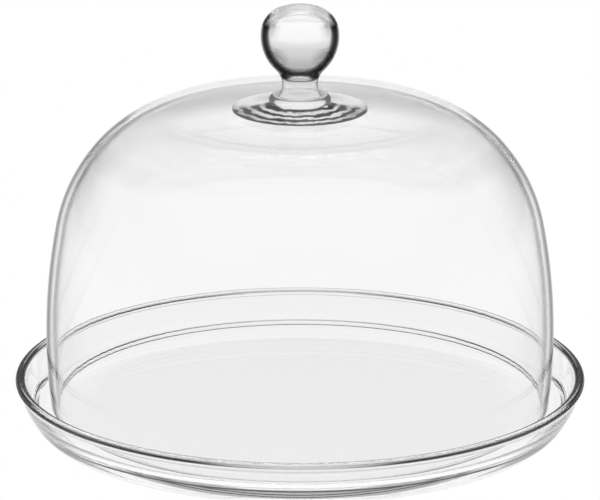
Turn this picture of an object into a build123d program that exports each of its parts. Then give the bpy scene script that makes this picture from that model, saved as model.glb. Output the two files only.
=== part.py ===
import os
from math import acos, cos, degrees, radians, sin

from build123d import *

os.makedirs("parts", exist_ok=True)

# A clear glass cake dome with a ball knob, standing in its glass serving plate.
# Sizes are in millimetres and angles in degrees. Every piece is turned about one upright
# axis, so each outline is a half section: distance from the axis, then height over the table.
# A lean is the angle between the surface and level: 0 on a flat top, 90 on an upright side.

# Ball knob
neck_radius = 9.9
neck_hollow_radius = 13.2
neck_flare_radius = 7.5
neck_flare_lean = 45.0
ball_lower_radius = 25.6
ball_lower_lean = 136.0
ball_shoulder_radius = 14.5
ball_shoulder_lean = 82.0
ball_top_lean = 22.0

# Collar and trumpet-shaped foot under the knob
collar_round = 2.85
collar_ledge = 2.3
foot_spread = 23.2
foot_edge = 0.5
foot_rise = 4.6
foot_hollow_radius = 90.0
collar_height = 8.1

# Blown dome, from the flat seat on its crown to its ground lower edge
lip_radius = 139.7
seat_margin = 2.3
wall = 3.5
crown_lean = 2.0
crown_edge_radius = 25.0
crown_edge_lean = 20.0
shoulder_radius = 80.0
shoulder_lean = 49.5
haunch_radius = 90.5
haunch_lean = 78.7
side_radius = 326.0
lip_lean = 97.1
lip_round = 1.2

# Serving plate: flat floor, curved wall and rolled rim
dome_clearance = 2.4
floor_thickness = 11.0
well_round = 9.0
base_round = 15.1
base_lean = 54.6
plate_wall_radius = 61.7
rim_lean = 72.6
rim_round = 2.7
rim_overhang = 0.75
rim_throat_radius = 1.2


# Outward run and height difference of an arc between two leans
def run(radius, lean_from, lean_to):
    return radius * (sin(radians(lean_to)) - sin(radians(lean_from)))


def fall(radius, lean_from, lean_to):
    return radius * (cos(radians(lean_from)) - cos(radians(lean_to)))


# An arc that carries on smoothly from the end of another line, to the left where turn is positive
def bend(before, radius, turn):
    return JernArc(before @ 1, before % 1, radius, turn)


# Sizes that follow from those above
upright = 90.0
flare_foot_radius = neck_radius + neck_flare_radius * (1 - cos(radians(neck_flare_lean)))
collar_centre = flare_foot_radius + collar_ledge
foot_radius = collar_centre + foot_spread
seat_radius = foot_radius + seat_margin

# The crown spans what the other arcs leave between its seat and the lip.
crown_run = (
    lip_radius
    - seat_radius
    - run(crown_edge_radius, crown_lean, crown_edge_lean)
    - run(shoulder_radius, crown_edge_lean, shoulder_lean)
    - run(haunch_radius, shoulder_lean, haunch_lean)
    - run(side_radius, haunch_lean, lip_lean)
)
crown_radius = crown_run / sin(radians(crown_lean))
dome_height = (
    fall(crown_radius, 0, crown_lean)
    + fall(crown_edge_radius, crown_lean, crown_edge_lean)
    + fall(shoulder_radius, crown_edge_lean, shoulder_lean)
    + fall(haunch_radius, shoulder_lean, haunch_lean)
    + fall(side_radius, haunch_lean, lip_lean)
)
inner_lip_lean = degrees(acos(side_radius * cos(radians(lip_lean)) / (side_radius - wall)))
seat_height = floor_thickness + dome_height
ceiling_height = seat_height - wall
collar_top = seat_height + collar_height

# The rolled rim is flush with the inside of the plate wall and stands proud of its outside.
# Both faces of the wall are struck from one centre, and the well round meets the inner one.
plate_wall = 2 * rim_round - rim_overhang
inner_wall_radius = plate_wall_radius - plate_wall
wall_centre_height = base_round + (plate_wall_radius - base_round) * cos(radians(base_lean))
well_reach = inner_wall_radius - well_round
well_lean = degrees(acos((wall_centre_height - floor_thickness - well_round) / well_reach))
floor_radius = lip_radius + dome_clearance
wall_centre = floor_radius - well_reach * sin(radians(well_lean))
base_radius = wall_centre + (plate_wall_radius - base_round) * sin(radians(base_lean))
rim_turn = degrees(acos(1 - rim_overhang / (rim_throat_radius + rim_round)))

# Serving plate
with BuildPart() as serving_plate:
    with BuildSketch(Plane.XZ):
        with BuildLine():
            underside = Line((0, 0), (base_radius, 0))
            base_edge = bend(underside, base_round, base_lean)
            outer_wall = bend(base_edge, plate_wall_radius, rim_lean - base_lean)
            throat = bend(outer_wall, rim_throat_radius, -rim_turn)
            rim = bend(throat, rim_round, rim_turn + 2 * upright)
            floor = Line((0, floor_thickness), (floor_radius, floor_thickness))
            well = bend(floor, well_round, well_lean)
            inner_wall = bend(well, inner_wall_radius, rim_lean - well_lean)
            Line(inner_wall @ 1, rim @ 1)
            Line(floor @ 0, underside @ 0)
        make_face()
    revolve(axis=Axis.Z)
serving_plate.part.label = "serving_plate"
export_step(serving_plate.part, "parts/serving_plate.step")


# Dome shell: five arcs in one smooth run outside, the same run one wall thickness in
def dome_outline(height, inset, last_lean):
    top = Line((0, height), (seat_radius, height))
    crown = bend(top, crown_radius - inset, -crown_lean)
    crown_edge = bend(crown, crown_edge_radius - inset, crown_lean - crown_edge_lean)
    shoulder = bend(crown_edge, shoulder_radius - inset, crown_edge_lean - shoulder_lean)
    haunch = bend(shoulder, haunch_radius - inset, shoulder_lean - haunch_lean)
    side = bend(haunch, side_radius - inset, haunch_lean - last_lean)
    return top, side


with BuildPart() as dome_shell:
    with BuildSketch(Plane.XZ) as shell_section:
        with BuildLine():
            seat, outer_side = dome_outline(seat_height, 0, lip_lean)
            ceiling, inner_side = dome_outline(ceiling_height, wall, inner_lip_lean)
            Line(outer_side @ 1, inner_side @ 1)
            Line(seat @ 0, ceiling @ 0)
        make_face()
        fillet(shell_section.vertices().sort_by(Axis.Y)[:2], lip_round)
    revolve(axis=Axis.Z)
dome_shell.part.label = "dome_shell"
export_step(dome_shell.part, "parts/dome_shell.step")

# Knob foot: a flat-bottomed trumpet that runs up under a rounded collar
with BuildPart() as knob_foot:
    with BuildSketch(Plane.XZ):
        with BuildLine():
            foot_base = Line((0, seat_height), (foot_radius, seat_height))
            foot_rim = Line(foot_base @ 1, (foot_radius, seat_height + foot_edge))
            trumpet_top = (collar_centre, seat_height + foot_rise)
            trumpet = RadiusArc(foot_rim @ 1, trumpet_top, foot_hollow_radius)
            collar_core = Line(trumpet @ 1, (collar_centre, collar_top))
            collar_face = Line(collar_core @ 1, (0, collar_top))
            Line(collar_face @ 1, foot_base @ 0)
        make_face()
        with Locations((collar_centre, collar_top - collar_round)):
            Circle(collar_round)
    revolve(axis=Axis.Z)
knob_foot.part.label = "knob_foot"
export_step(knob_foot.part, "parts/knob_foot.step")

# Knob: flare, hollow neck and a ball that is blunter above than below
ball_lower_joint = neck_radius + neck_hollow_radius * (1 - sin(radians(ball_lower_lean)))
ball_shoulder_joint = ball_lower_joint + run(ball_lower_radius, ball_lower_lean, ball_shoulder_lean)
ball_top_joint = ball_shoulder_joint + run(ball_shoulder_radius, ball_shoulder_lean, ball_top_lean)
ball_top_radius = ball_top_joint / sin(radians(ball_top_lean))
with BuildPart() as knob:
    with BuildSketch(Plane.XZ):
        with BuildLine():
            knob_base = Line((0, collar_top), (flare_foot_radius, collar_top))
            flare_start = (-sin(radians(neck_flare_lean)), cos(radians(neck_flare_lean)))
            flare = JernArc(knob_base @ 1, flare_start, neck_flare_radius, -neck_flare_lean)
            hollow = bend(flare, neck_hollow_radius, upright - ball_lower_lean)
            ball_lower = bend(hollow, ball_lower_radius, ball_lower_lean - ball_shoulder_lean)
            ball_shoulder = bend(ball_lower, ball_shoulder_radius, ball_shoulder_lean - ball_top_lean)
            ball_top = bend(ball_shoulder, ball_top_radius, ball_top_lean)
            Line(ball_top @ 1, knob_base @ 0)
        make_face()
    revolve(axis=Axis.Z)
knob.part.label = "knob"
export_step(knob.part, "parts/knob.step")
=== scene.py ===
from math import acos, ceil, cos, degrees, hypot, pi, radians, sin, sqrt

import bpy
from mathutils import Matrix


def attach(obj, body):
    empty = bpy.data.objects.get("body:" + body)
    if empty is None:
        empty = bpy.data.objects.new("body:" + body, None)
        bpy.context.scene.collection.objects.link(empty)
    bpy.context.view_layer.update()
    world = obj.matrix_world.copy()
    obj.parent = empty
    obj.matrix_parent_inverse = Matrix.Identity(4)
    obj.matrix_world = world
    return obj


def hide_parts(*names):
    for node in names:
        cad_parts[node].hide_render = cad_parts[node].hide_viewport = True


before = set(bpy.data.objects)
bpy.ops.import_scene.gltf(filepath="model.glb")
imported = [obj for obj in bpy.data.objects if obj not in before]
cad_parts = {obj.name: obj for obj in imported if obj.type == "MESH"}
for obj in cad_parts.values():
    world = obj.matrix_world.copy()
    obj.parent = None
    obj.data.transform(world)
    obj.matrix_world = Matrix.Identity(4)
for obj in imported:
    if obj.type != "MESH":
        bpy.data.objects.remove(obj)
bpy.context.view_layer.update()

# A clear glass cake dome with a ball knob, standing in its glass serving plate.
# Outlines are in millimetres and degrees, as in the CAD model, and the meshes are in metres.
# Every piece is turned about one upright axis, so each outline is a half section of it.
# A lean is the angle between the surface and level: 0 on a flat top, 90 on an upright side.
mm = 0.001

# Ball knob
neck_radius = 9.9
neck_hollow_radius = 13.2
neck_flare_radius = 7.5
neck_flare_lean = 45.0
ball_lower_radius = 25.6
ball_lower_lean = 136.0
ball_shoulder_radius = 14.5
ball_shoulder_lean = 82.0
ball_top_lean = 22.0

# Collar and trumpet-shaped foot under the knob
collar_round = 2.85
collar_ledge = 2.3
foot_spread = 23.2
foot_edge = 0.5
foot_rise = 4.6
foot_hollow_radius = 90.0
collar_height = 8.1

# Blown dome, from the flat seat on its crown to its ground lower edge
lip_radius = 139.7
seat_margin = 2.3
wall = 3.5
crown_lean = 2.0
crown_edge_radius = 25.0
crown_edge_lean = 20.0
shoulder_radius = 80.0
shoulder_lean = 49.5
haunch_radius = 90.5
haunch_lean = 78.7
side_radius = 326.0
lip_lean = 97.1
lip_round = 1.2

# A fine line of painted shade runs round the inside of the wall, a little above the lower edge
painted_line_height = 4.0
painted_line_width = 0.8

# Serving plate: flat floor, curved wall and rolled rim
dome_clearance = 2.4
floor_thickness = 11.0
well_round = 9.0
base_round = 15.1
base_lean = 54.6
plate_wall_radius = 61.7
rim_lean = 72.6
rim_round = 2.7
rim_overhang = 0.75
rim_throat_radius = 1.2

# Fineness of the meshes: facets around the axis, degrees and millimetres along an outline
segments = 360
arc_step = 3.0
longest_step = 2.5

# Camera of the photograph, in metres, degrees and millimetres of lens and sensor
camera_distance = 2.5
camera_elevation = 16.72
target_height = 0.0998
lens = 268.74
sensor = 36.0


def sine(angle):
    return sin(radians(angle))


def cosine(angle):
    return cos(radians(angle))


# Outward run and height difference of an arc between two leans
def run(radius, lean_from, lean_to):
    return radius * (sine(lean_to) - sine(lean_from))


def fall(radius, lean_from, lean_to):
    return radius * (cosine(lean_from) - cosine(lean_to))


# Sizes that follow from those above
upright = 90.0
flare_foot_radius = neck_radius + neck_flare_radius * (1 - cosine(neck_flare_lean))
collar_centre = flare_foot_radius + collar_ledge
foot_radius = collar_centre + foot_spread
seat_radius = foot_radius + seat_margin
crown_run = (
    lip_radius
    - seat_radius
    - run(crown_edge_radius, crown_lean, crown_edge_lean)
    - run(shoulder_radius, crown_edge_lean, shoulder_lean)
    - run(haunch_radius, shoulder_lean, haunch_lean)
    - run(side_radius, haunch_lean, lip_lean)
)
crown_radius = crown_run / sine(crown_lean)
dome_height = (
    fall(crown_radius, 0, crown_lean)
    + fall(crown_edge_radius, crown_lean, crown_edge_lean)
    + fall(shoulder_radius, crown_edge_lean, shoulder_lean)
    + fall(haunch_radius, shoulder_lean, haunch_lean)
    + fall(side_radius, haunch_lean, lip_lean)
)
seat_height = floor_thickness + dome_height
collar_top = seat_height + collar_height


# Helpers for node trees: each makes nodes and returns an output, and takes outputs or plain numbers
def grey(level):
    return (level, level, level, 1)


def computed(tree, operation, first, second=0.0):
    made = tree.nodes.new("ShaderNodeMath")
    made.operation = operation
    for socket, value in zip(made.inputs, (first, second)):
        if isinstance(value, (int, float)):
            socket.default_value = value
        else:
            tree.links.new(value, socket)
    return made.outputs[0]


def scaled(tree, value, low, high):
    made = tree.nodes.new("ShaderNodeMapRange")
    made.inputs["From Min"].default_value = low
    made.inputs["From Max"].default_value = high
    tree.links.new(value, made.inputs["Value"])
    return made.outputs["Result"]


def ramp(tree, value, stops):
    """Level that runs straight from stop to stop, each a place from 0 to 1 and the level there."""
    made = tree.nodes.new("ShaderNodeValToRGB")
    elements = made.color_ramp.elements
    while len(elements) < len(stops):
        elements.new(1)
    for element, (place, level) in zip(elements, stops):
        element.position = place
        element.color = grey(level)
    tree.links.new(value, made.inputs["Fac"])
    return made.outputs["Color"]


def mix(tree, factor, first, second):
    made = tree.nodes.new("ShaderNodeMix")
    made.data_type = "RGBA"
    tree.links.new(factor, made.inputs["Factor"])
    for name, value in (("A", first), ("B", second)):
        if isinstance(value, (int, float)):
            made.inputs[name].default_value = grey(value)
        else:
            tree.links.new(value, made.inputs[name])
    return made.outputs["Result"]


def parts(tree, vector):
    made = tree.nodes.new("ShaderNodeSeparateXYZ")
    tree.links.new(vector, made.inputs[0])
    return made.outputs


def level_part(tree, vector):
    """The vector without its height."""
    across = parts(tree, vector)
    made = tree.nodes.new("ShaderNodeCombineXYZ")
    tree.links.new(across["X"], made.inputs["X"])
    tree.links.new(across["Y"], made.inputs["Y"])
    return made.outputs["Vector"]


def length(tree, vector):
    made = tree.nodes.new("ShaderNodeVectorMath")
    made.operation = "LENGTH"
    tree.links.new(vector, made.inputs[0])
    return made.outputs["Value"]


def bumped(tree, height, depth):
    made = tree.nodes.new("ShaderNodeBump")
    made.inputs["Distance"].default_value = depth
    tree.links.new(height, made.inputs["Height"])
    return made.outputs["Normal"]


# Surface of the glass: streaks from pressing and blowing, and a film of handling on the polish
streak_scale = 150.0
streak_stretch = 30.0
streak_detail = 3.0
smudge = 0.01

# Share of light that each surface lets through, and what is left of it where the glass carries painted
# shade
clear = 0.97
dark = 0.01


def glass(name, ior, shine, painted_shades, streak_depth, tint=clear):
    """Clear glass with painted shade, as thick glass on a white ground looks dark, mostly where seen
    edge on.

    Each of the painted shades is a pair of ramps. The first gives the painted shade of a surface, from
    0, seen face on, to 1, seen edge on. The second gives the share of it that is kept, from 0, where the
    surface faces down, through 0.5, where it is upright, to 1, where it faces up. The darkest pair
    holds.
    """
    material = bpy.data.materials.new(name)
    material.use_nodes = True
    tree = material.node_tree
    shader = tree.nodes["Principled BSDF"]
    shader.inputs["Transmission Weight"].default_value = 1
    shader.inputs["IOR"].default_value = ior
    shader.inputs["Specular Tint"].default_value = grey(shine)

    # The streaks run up the sides
    coords = tree.nodes.new("ShaderNodeTexCoord")
    place = tree.nodes.new("ShaderNodeMapping")
    place.inputs["Scale"].default_value = (streak_scale, streak_scale, streak_scale / streak_stretch)
    tree.links.new(coords.outputs["Object"], place.inputs["Vector"])
    streaks = tree.nodes.new("ShaderNodeTexNoise")
    streaks.inputs["Scale"].default_value = 1
    streaks.inputs["Detail"].default_value = streak_detail
    tree.links.new(place.outputs["Vector"], streaks.inputs["Vector"])
    normal = bumped(tree, streaks.outputs["Fac"], streak_depth)
    tree.links.new(normal, shader.inputs["Normal"])
    film = tree.nodes.new("ShaderNodeMapRange")
    film.inputs["To Max"].default_value = smudge
    tree.links.new(streaks.outputs["Fac"], film.inputs["Value"])
    tree.links.new(film.outputs["Result"], shader.inputs["Roughness"])

    # Only light that meets the glass from outside sees its painted shade
    facing = tree.nodes.new("ShaderNodeLayerWeight")
    tree.links.new(normal, facing.inputs["Normal"])
    geometry = tree.nodes.new("ShaderNodeNewGeometry")
    slope = scaled(tree, parts(tree, geometry.outputs["Normal"])["Z"], -1, 1)
    outside = computed(tree, "SUBTRACT", 1, geometry.outputs["Backfacing"])
    painted_shade = 0
    for edge, slopes in painted_shades:
        seen = ramp(tree, facing.outputs["Facing"], edge)
        kept = computed(tree, "MULTIPLY", seen, ramp(tree, slope, slopes))
        painted_shade = computed(tree, "MAXIMUM", painted_shade, kept)
    painted_shade = computed(tree, "MULTIPLY", painted_shade, outside)
    # The painted shade darkens the colour and makes the surface a dark mirror
    tree.links.new(mix(tree, painted_shade, tint, dark), shader.inputs["Base Color"])
    tree.links.new(painted_shade, shader.inputs["Metallic"])
    return material


def let_through(material, body):
    """Lets part of the light pass straight through, but not where the glass carries painted shade.

    A body of 1 lets none pass like that, and a body of 0 lets all of it pass.
    """
    tree = material.node_tree
    shader = tree.nodes["Principled BSDF"]
    painted_shade = shader.inputs["Metallic"].links[0].from_socket
    tree.links.new(computed(tree, "MAXIMUM", body, painted_shade), shader.inputs["Alpha"])


def thin_by_radius(material, stops):
    """Body of the glass by distance from the axis in millimetres."""
    tree = material.node_tree
    coords = tree.nodes.new("ShaderNodeTexCoord")
    radius = length(tree, level_part(tree, coords.outputs["Object"]))
    reach = stops[-1][0]
    places = [(distance / reach, level) for distance, level in stops]
    let_through(material, ramp(tree, scaled(tree, radius, 0, reach * mm), places))


def thin_by_slope(material, stops):
    """Body of the glass by slope, from 0, facing down, to 1, facing up."""
    tree = material.node_tree
    geometry = tree.nodes.new("ShaderNodeNewGeometry")
    slope = scaled(tree, parts(tree, geometry.outputs["Normal"])["Z"], -1, 1)
    let_through(material, ramp(tree, slope, stops))


# Shallow grooves left by the tool that spun the hot foot out, with dark rings of painted shade along
# them. A wave's scale is 0.314 over its spacing in metres. The painted rings show where the foot is seen
# at a slant, and fade where it is seen face on or edge on.
ring_scale = 0.314
ring_spacing = 0.0062
ring_unevenness = 3.0
ring_detail_scale = 3.0
ring_depth = 0.0001
painted_ring_shade = [(0, 0.003), (0.5, 0.03), (0.64, 0.7), (0.78, 1)]
painted_ring_edge_shade = [(0.64, 1), (0.7, 0.3)]
ring_fade = [(0.15, 0.85), (0.42, 0), (0.735, 0), (0.77, 1)]
ring_clear = 0.95


def grooves_and_painted_rings(material):
    """Uneven dark rings of painted shade, and shallow grooves, around the upright axis."""
    tree = material.node_tree
    shader = tree.nodes["Principled BSDF"]
    coords = tree.nodes.new("ShaderNodeTexCoord")
    wave = tree.nodes.new("ShaderNodeTexWave")
    wave.wave_type = "RINGS"
    wave.rings_direction = "Z"
    wave.inputs["Scale"].default_value = ring_scale / ring_spacing
    wave.inputs["Distortion"].default_value = ring_unevenness
    wave.inputs["Detail Scale"].default_value = ring_detail_scale
    tree.links.new(coords.outputs["Object"], wave.inputs["Vector"])
    rings = wave.outputs["Fac"]
    facing = tree.nodes.new("ShaderNodeLayerWeight").outputs["Facing"]
    # Painted shade: the rings darken the colour, more so towards the edge, and fade face on and edge on
    shade = computed(tree, "MULTIPLY", ramp(tree, rings, painted_ring_shade), ramp(tree, facing, painted_ring_edge_shade))
    tint = mix(tree, ramp(tree, facing, ring_fade), shade, ring_clear)
    tree.links.new(tint, shader.inputs["Base Color"])
    tree.links.new(bumped(tree, rings, ring_depth), shader.inputs["Normal"])


def fused_joint():
    """No surface at all, where two pieces are one glass."""
    material = bpy.data.materials.new("fused_joint")
    material.use_nodes = True
    tree = material.node_tree
    tree.nodes.clear()
    nothing = tree.nodes.new("ShaderNodeBsdfTransparent")
    out = tree.nodes.new("ShaderNodeOutputMaterial")
    tree.links.new(nothing.outputs[0], out.inputs["Surface"])
    return material


# Depth of the streaks in metres
blown = 0.00002
pressed = 0.00001
polished = 0.000003

# How strongly each glass bends light. The dome and the plate's floor and base bend it less than solid
# glass does, so that they stay bright and clear.
solid_ior = 1.5
dome_ior = 1.25
floor_ior = 1.22

# Strength of the reflections
plain_shine = 0.5
rim_shine = 0.3
knob_shine = 0.7

# Slopes that keep their dark edges
everywhere = [(0, 1), (1, 1)]
off_level = [(0.03, 0), (0.08, 1), (0.92, 1), (0.97, 0)]
facing_down = [(0.4, 1), (0.48, 0)]
below_the_cap = [(0.7, 1), (0.85, 0)]
below_the_top = [(0.985, 1), (0.998, 0)]

# The plate's wall, floor and base carry painted shade where seen edge on.
# The plate's base lets the white table show near its edge
wall_side = [(0.6, 0), (0.72, 0.42), (1, 0.5)]
wall_glass = glass("wall_glass", solid_ior, plain_shine, [(wall_side, facing_down)], pressed)
floor_edge = [(0.85, 0), (1, 0.3)]
floor_glass = glass("floor_glass", floor_ior, plain_shine, [(floor_edge, everywhere)], pressed)
base_edge = [(0.75, 0), (0.92, 0.4), (1, 0.45)]
base_glass = glass("base_glass", floor_ior, plain_shine, [(base_edge, off_level)], pressed)
base_body = [(120, 1), (136, 0.15), (165, 0.15)]
thin_by_radius(base_glass, base_body)

# The rolled rim carries painted shade around its waist, and over its shoulders and top where they are
# seen at a low angle
rim_waist = [(0, 0.3), (0.03, 0.5), (0.07, 0.92), (1, 0.9)]
waist_slopes = [(0.48, 0), (0.52, 1), (0.7, 1), (0.85, 0.45), (0.95, 0)]
rim_shoulder = [(0.5, 0), (0.58, 0.88)]
shoulder_slopes = [(0.7, 0), (0.8, 1), (0.95, 1), (0.985, 0)]
rim_top = [(0.6, 0), (0.68, 0.85), (0.79, 0.85), (0.88, 0.1)]
rim_slopes = [(0.7, 0), (0.82, 1)]
rim_darks = [
    (rim_waist, waist_slopes),
    (rim_shoulder, shoulder_slopes),
    (rim_top, rim_slopes),
]
rim_glass = glass("rim_glass", solid_ior, rim_shine, rim_darks, pressed)

# The dome's glass is thin on the crown and full on the haunch and sides, and its sides carry painted
# shade where seen edge on
dome_edge = [
    (0.5, 0), (0.74, 0.09), (0.79, 0.18), (0.82, 0.42), (0.845, 0.68), (0.87, 0.9), (1, 0.92),
]
dome_glass = glass("dome_glass", dome_ior, plain_shine, [(dome_edge, off_level)], blown)
dome_body = [(38, 0.15), (58, 0.2), (80, 0.35), (102, 0.35), (118, 1), (150, 1)]
thin_by_radius(dome_glass, dome_body)

# The rounded lip and the fine line above it, both dark with painted shade
lip_edge = [(0, 0.8), (0.3, 0.97)]
lip_glass = glass("lip_glass", solid_ior, plain_shine, [(lip_edge, everywhere)], blown)
painted_line_shade = [(0, 0.38), (0.1, 0.5), (0.3, 0.95)]
painted_line_glass = glass("painted_line_glass", solid_ior, plain_shine, [(painted_line_shade, everywhere)], blown)

# The ball carries painted shade: dark around its sides, shaded in its upper middle, and clear under its
# cap
ball_edge = [
    (0.25, 0), (0.32, 0.15), (0.37, 0.45), (0.42, 0.88), (0.5, 0.98), (0.66, 0.98), (0.8, 0.7), (1, 0.5),
]
ball_shade = [(0.13, 0), (0.2, 0.1), (0.3, 0.32), (0.43, 0.45)]
shade_slopes = [(0.5, 0), (0.58, 1), (0.75, 1), (0.85, 0)]
cap_side = [(0.5, 0), (0.58, 0.6), (0.66, 0.95)]
cap_slopes = [(0.6, 0), (0.68, 1), (0.86, 1), (0.965, 0)]
cap_top = [(0.76, 0), (0.86, 0.6), (1, 0.7)]
top_slopes = [(0.9, 0), (0.96, 1)]
ball_darks = [
    (ball_edge, below_the_cap),
    (ball_shade, shade_slopes),
    (cap_side, cap_slopes),
    (cap_top, top_slopes),
]
ball_glass = glass("ball_glass", solid_ior, plain_shine, ball_darks, polished)
ball_body = [(0.68, 1), (0.93, 0.25)]
thin_by_slope(ball_glass, ball_body)

# A dark ring of painted shade shows where the neck widens into the ball
neck_edge = [(0.45, 0), (0.7, 0.8), (1, 0.7)]
neck_ring = [(0, 0.85), (1, 0.9)]
neck_ring_slopes = [(0.33, 1), (0.35, 0)]
neck_darks = [(neck_edge, everywhere), (neck_ring, neck_ring_slopes)]
neck_glass = glass("neck_glass", solid_ior, knob_shine, neck_darks, polished)
neck_body = 0.4
let_through(neck_glass, neck_body)

# The foot's upper side, and the ceiling of the dome under it, with painted shade where seen edge on
foot_tint = 0.9
foot_edge_on = [(0.8, 0), (0.9, 0.8)]
foot_darks = [(foot_edge_on, everywhere)]
foot_glass = glass("foot_glass", solid_ior, knob_shine, foot_darks, polished, foot_tint)
grooves_and_painted_rings(foot_glass)
under_glass = glass("under_glass", solid_ior, knob_shine, foot_darks, polished, foot_tint)
under_body = 0.3
let_through(under_glass, under_body)

# The collar and the foot's thin rim, dark with painted shade
collar_edge = [(0.3, 0), (0.45, 0.85), (1, 0.9)]
collar_glass = glass("collar_glass", solid_ior, knob_shine, [(collar_edge, below_the_top)], polished)
collar_body = 0.4
let_through(collar_glass, collar_body)
foot_rim_edge = [(0, 0.8), (1, 0.9)]
foot_rim_glass = glass("foot_rim_glass", solid_ior, plain_shine, [(foot_rim_edge, everywhere)], polished)
joint = fused_joint()


class Outline:
    """Half section of a turned piece, walked anticlockwise from the axis and back to it.

    Each strip holds its two ends as (radius, height, heading) and the material it wears, which is the
    piece's own glass unless another is given.
    """

    def __init__(self, height, own_glass):
        self.here = (0.0, height, 0.0)
        self.glass = own_glass
        self.strips = []

    def step(self, radius, height, heading, wears=None):
        self.strips.append((self.here, (radius, height, heading), wears or self.glass))
        self.here = (radius, height, heading)

    def line(self, reach, wears=None):
        radius, height, heading = self.here
        self.step(radius + reach * cosine(heading), height + reach * sine(heading), heading, wears)

    def corner(self, turn):
        radius, height, heading = self.here
        self.here = (radius, height, heading + turn)

    def bend(self, radius, turn, wears=None):
        start_radius, start_height, start = self.here
        side = 1 if turn > 0 else -1
        centre_radius = start_radius - side * radius * sine(start)
        centre_height = start_height + side * radius * cosine(start)
        steps = ceil(max(abs(turn) / arc_step, radius * radians(abs(turn)) / longest_step))
        for i in range(1, steps + 1):
            heading = start + turn * i / steps
            across = centre_radius + side * radius * sine(heading)
            up = centre_height - side * radius * cosine(heading)
            self.step(across, up, heading, wears)


# A point nearer to the axis than this is on it
on_axis = 1e-6


def turned(name, outline):
    """Mesh of an outline turned about the upright axis, with exact normals at each corner of a face."""
    rings = [outline.strips[0][0]] + [end for start, end, wears in outline.strips]
    verts, ring_verts = [], []
    for radius, height, heading in rings:
        count = 1 if radius < on_axis else segments
        ring_verts.append(range(len(verts), len(verts) + count))
        for i in range(count):
            angle = 2 * pi * i / segments
            reach = 0 if radius < on_axis else radius * mm
            verts.append((reach * cos(angle), reach * sin(angle), height * mm))
    materials = [outline.glass]
    faces, normals, slots = [], [], []
    for (start, end, wears), low, high in zip(outline.strips, ring_verts, ring_verts[1:]):
        if wears not in materials:
            materials.append(wears)
        for i in range(segments):
            j = (i + 1) % segments
            corners = [(low, i, start), (low, j, start), (high, j, end), (high, i, end)]
            if len(low) == 1:
                corners.pop(1)
            if len(high) == 1:
                corners.pop()
            faces.append([ring[k % len(ring)] for ring, k, state in corners])
            for ring, k, (radius, height, heading) in corners:
                angle = 2 * pi * k / segments
                out = 0 if len(ring) == 1 else sine(heading)
                normals.append((out * cos(angle), out * sin(angle), -cosine(heading)))
            slots.append(materials.index(wears))
    mesh = bpy.data.meshes.new(name)
    mesh.from_pydata(verts, [], faces)
    mesh.polygons.foreach_set("use_smooth", [True] * len(faces))
    mesh.polygons.foreach_set("material_index", slots)
    mesh.normals_split_custom_set(normals)
    for material in materials:
        mesh.materials.append(material)
    piece = bpy.data.objects.new(name, mesh)
    bpy.context.scene.collection.objects.link(piece)
    return piece


# Serving plate
def plate_outline():
    plate_wall = 2 * rim_round - rim_overhang
    inner_wall_radius = plate_wall_radius - plate_wall
    wall_centre_height = base_round + (plate_wall_radius - base_round) * cosine(base_lean)
    well_reach = inner_wall_radius - well_round
    well_lean = degrees(acos((wall_centre_height - floor_thickness - well_round) / well_reach))
    floor_radius = lip_radius + dome_clearance
    wall_centre = floor_radius - well_reach * sine(well_lean)
    base_radius = wall_centre + (plate_wall_radius - base_round) * sine(base_lean)
    rim_turn = degrees(acos(1 - rim_overhang / (rim_throat_radius + rim_round)))
    outline = Outline(0, wall_glass)
    outline.line(base_radius, base_glass)
    outline.bend(base_round, base_lean, base_glass)
    outline.bend(plate_wall_radius, rim_lean - base_lean)
    outline.bend(rim_throat_radius, -rim_turn, rim_glass)
    outline.bend(rim_round, rim_turn + 2 * upright, rim_glass)
    outline.bend(inner_wall_radius, well_lean - rim_lean)
    outline.bend(well_round, -well_lean)
    outline.line(outline.here[0], floor_glass)
    return outline


# Dome shell: the inside from the ceiling to the lip, then the outside back up to the seat
def dome_outline():
    inner_side_radius = side_radius - wall
    lip_drop = side_radius * cosine(lip_lean)
    inner_round_centre = inner_side_radius + lip_round
    outer_round_centre = side_radius - lip_round
    inner_stop = degrees(acos((lip_drop + lip_round) / inner_round_centre))
    outer_stop = degrees(acos((lip_drop + lip_round) / outer_round_centre))
    lip_flat = outer_round_centre * sine(outer_stop) - inner_round_centre * sine(inner_stop)
    line_top = degrees(acos((lip_drop + painted_line_height + painted_line_width) / inner_side_radius))
    line_foot = degrees(acos((lip_drop + painted_line_height) / inner_side_radius))
    outline = Outline(seat_height - wall, dome_glass)
    outline.line(foot_radius, under_glass)
    outline.line(seat_margin)
    outline.bend(crown_radius - wall, -crown_lean)
    outline.bend(crown_edge_radius - wall, crown_lean - crown_edge_lean)
    outline.bend(shoulder_radius - wall, crown_edge_lean - shoulder_lean)
    outline.bend(haunch_radius - wall, shoulder_lean - haunch_lean)
    outline.bend(inner_side_radius, haunch_lean - line_top)
    outline.bend(inner_side_radius, line_top - line_foot, painted_line_glass)
    outline.bend(inner_side_radius, line_foot - inner_stop)
    outline.bend(lip_round, inner_stop, lip_glass)
    outline.line(lip_flat)
    outline.bend(lip_round, 2 * upright - outer_stop, lip_glass)
    outline.bend(side_radius, outer_stop - haunch_lean)
    outline.bend(haunch_radius, haunch_lean - shoulder_lean)
    outline.bend(shoulder_radius, shoulder_lean - crown_edge_lean)
    outline.bend(crown_edge_radius, crown_edge_lean - crown_lean)
    outline.bend(crown_radius, crown_lean)
    outline.line(seat_margin)
    outline.line(outline.here[0], joint)
    return outline


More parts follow.
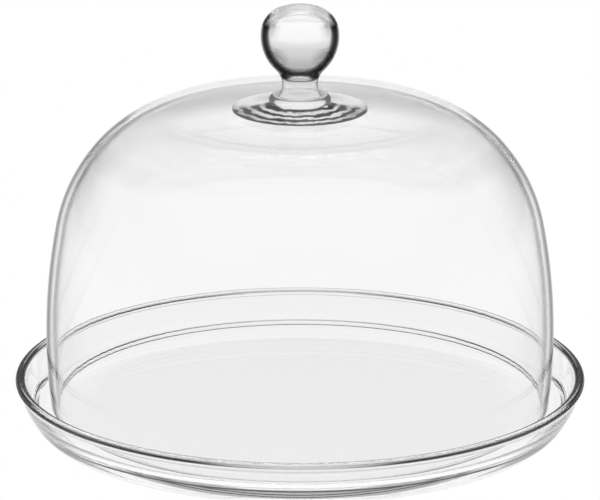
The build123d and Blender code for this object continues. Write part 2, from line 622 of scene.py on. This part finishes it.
# Knob foot: a flat-bottomed trumpet that runs up under a rounded collar
def foot_outline():
    edge = (foot_radius, seat_height + foot_edge)
    top = (collar_centre, seat_height + foot_rise)
    chord = hypot(edge[0] - top[0], edge[1] - top[1])
    across = sqrt(foot_hollow_radius**2 - chord**2 / 4)
    hollow = (
        (edge[0] + top[0]) / 2 + across * (top[1] - edge[1]) / chord,
        (edge[1] + top[1]) / 2 + across * (edge[0] - top[0]) / chord,
    )
    # The trumpet and the collar meet where their two circles cross
    collar = (collar_centre, collar_top - collar_round)
    apart = hypot(hollow[0] - collar[0], hollow[1] - collar[1])
    along = (collar_round**2 - foot_hollow_radius**2 + apart**2) / (2 * apart)
    aside = sqrt(collar_round**2 - along**2)
    toward = ((hollow[0] - collar[0]) / apart, (hollow[1] - collar[1]) / apart)
    meet = (
        collar[0] + along * toward[0] + aside * toward[1],
        collar[1] + along * toward[1] - aside * toward[0],
    )
    start = upright + degrees(acos((hollow[0] - edge[0]) / foot_hollow_radius))
    stop = upright + degrees(acos((hollow[0] - meet[0]) / foot_hollow_radius))
    half = 1 if meet[1] > collar[1] else -1
    collar_start = upright + half * degrees(acos((meet[0] - collar[0]) / collar_round))
    outline = Outline(seat_height, foot_glass)
    outline.line(foot_radius, joint)
    outline.corner(upright)
    outline.line(foot_edge, foot_rim_glass)
    outline.corner(start - upright)
    outline.bend(foot_hollow_radius, stop - start)
    outline.corner(collar_start - stop)
    outline.bend(collar_round, 2 * upright - collar_start, collar_glass)
    outline.line(collar_ledge)
    outline.line(outline.here[0], joint)
    return outline


# Knob: flare, hollow neck and a ball that is blunter above than below
def knob_outline():
    half_hollow = (upright - ball_lower_lean) / 2
    outline = Outline(collar_top, ball_glass)
    outline.line(flare_foot_radius, joint)
    outline.corner(2 * upright - neck_flare_lean)
    outline.bend(neck_flare_radius, -neck_flare_lean, neck_glass)
    outline.bend(neck_hollow_radius, half_hollow, neck_glass)
    outline.bend(neck_hollow_radius, half_hollow)
    outline.bend(ball_lower_radius, ball_lower_lean - ball_shoulder_lean)
    outline.bend(ball_shoulder_radius, ball_shoulder_lean - ball_top_lean)
    outline.bend(outline.here[0] / sine(ball_top_lean), ball_top_lean)
    return outline


pieces = {
    "serving_plate": ("plate", "plate_glass", plate_outline),
    "dome_shell": ("dome", "dome_glass", dome_outline),
    "knob_foot": ("dome", "knob_glass", foot_outline),
    "knob": ("dome", "knob_glass", knob_outline),
}
for node_name, (body, slot, make_outline) in pieces.items():
    piece = turned("glass_" + node_name, make_outline())
    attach(piece, body)
    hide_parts(node_name)

# Light tent: four soft walls around a white table, all alike. The corners between them are dimmer low
# down and lighter at half height. Light is given from the table, at 0, to straight overhead, at 1.
wall_light = [
    (0, 0.7), (0.06, 0.67), (0.1, 0.63), (0.17, 0.55), (0.23, 0.5), (0.29, 0.44), (0.39, 0.42),
    (0.41, 0.05), (0.53, 0.06), (0.62, 0.45), (0.75, 0.85), (0.9, 1),
]
corner_light = [
    (0, 0.42), (0.1, 0.28), (0.17, 0.06), (0.33, 0.2), (0.38, 0.55), (0.5, 0.75), (0.8, 0.8), (0.9, 1),
]
corner_width = [(0.2, 0), (0.35, 0.45), (0.46, 0.9), (0.5, 1)]

# White table, whose light falls off towards table_far. Distances are in metres.
table_light = [(0, 1), (0.18, 1), (0.27, 0.94), (0.38, 0.8), (1, 0.7)]
table_far = 5.0
table_reach = 30.0
table_drop = 0.0002


def corner_share(tree, vector):
    """How near a direction is to a corner of the tent: 0 in the middle of a wall, 1 in a corner."""
    made = tree.nodes.new("ShaderNodeVectorMath")
    made.operation = "NORMALIZE"
    tree.links.new(level_part(tree, vector), made.inputs[0])
    across = parts(tree, made.outputs["Vector"])
    product = computed(tree, "ABSOLUTE", computed(tree, "MULTIPLY", across["X"], across["Y"]))
    return ramp(tree, product, corner_width)


def plain_white_behind(tree, light):
    """Light for the glass, and plain white where the ground itself is seen."""
    path = tree.nodes.new("ShaderNodeLightPath")
    return mix(tree, path.outputs["Is Camera Ray"], light, 1.0)


def white_table():
    material = bpy.data.materials.new("white_table")
    material.use_nodes = True
    tree = material.node_tree
    tree.nodes.clear()
    place = tree.nodes.new("ShaderNodeNewGeometry").outputs["Position"]
    distance = computed(tree, "DIVIDE", length(tree, place), table_far)
    glow = tree.nodes.new("ShaderNodeEmission")
    tree.links.new(plain_white_behind(tree, ramp(tree, distance, table_light)), glow.inputs["Color"])
    out = tree.nodes.new("ShaderNodeOutputMaterial")
    tree.links.new(glow.outputs[0], out.inputs["Surface"])
    return material


def table():
    sides = ((-1, -1), (1, -1), (1, 1), (-1, 1))
    corners = [(x * table_reach, y * table_reach, -table_drop) for x, y in sides]
    mesh = bpy.data.meshes.new("floor")
    mesh.from_pydata(corners, [], [range(len(corners))])
    mesh.materials.append(white_table())
    floor = bpy.data.objects.new("floor", mesh)
    bpy.context.scene.collection.objects.link(floor)


def light_tent():
    world = bpy.data.worlds.new("light_tent")
    world.use_nodes = True
    tree = world.node_tree
    direction = tree.nodes.new("ShaderNodeTexCoord").outputs["Generated"]
    height = parts(tree, direction)["Z"]
    walls = ramp(tree, height, wall_light)
    light = mix(tree, corner_share(tree, direction), walls, ramp(tree, height, corner_light))
    tree.links.new(plain_white_behind(tree, light), tree.nodes["Background"].inputs["Color"])
    bpy.context.scene.world = world


table()
light_tent()

# Camera
camera_data = bpy.data.cameras.new("camera")
camera_data.lens = lens
camera_data.sensor_width = sensor
camera = bpy.data.objects.new("camera", camera_data)
camera.location = (
    0,
    -camera_distance * cosine(camera_elevation),
    target_height + camera_distance * sine(camera_elevation),
)
camera.rotation_euler = (radians(upright - camera_elevation), 0, 0)
scene = bpy.context.scene
scene.collection.objects.link(camera)
scene.camera = camera

# Plain colours, and enough bounces for light to cross every wall of the glass
bounces = 32
mirror_bounces = 16
scene.view_settings.view_transform = "Standard"
scene.cycles.max_bounces = bounces
scene.cycles.transmission_bounces = bounces
scene.cycles.transparent_max_bounces = bounces
scene.cycles.glossy_bounces = mirror_bounces
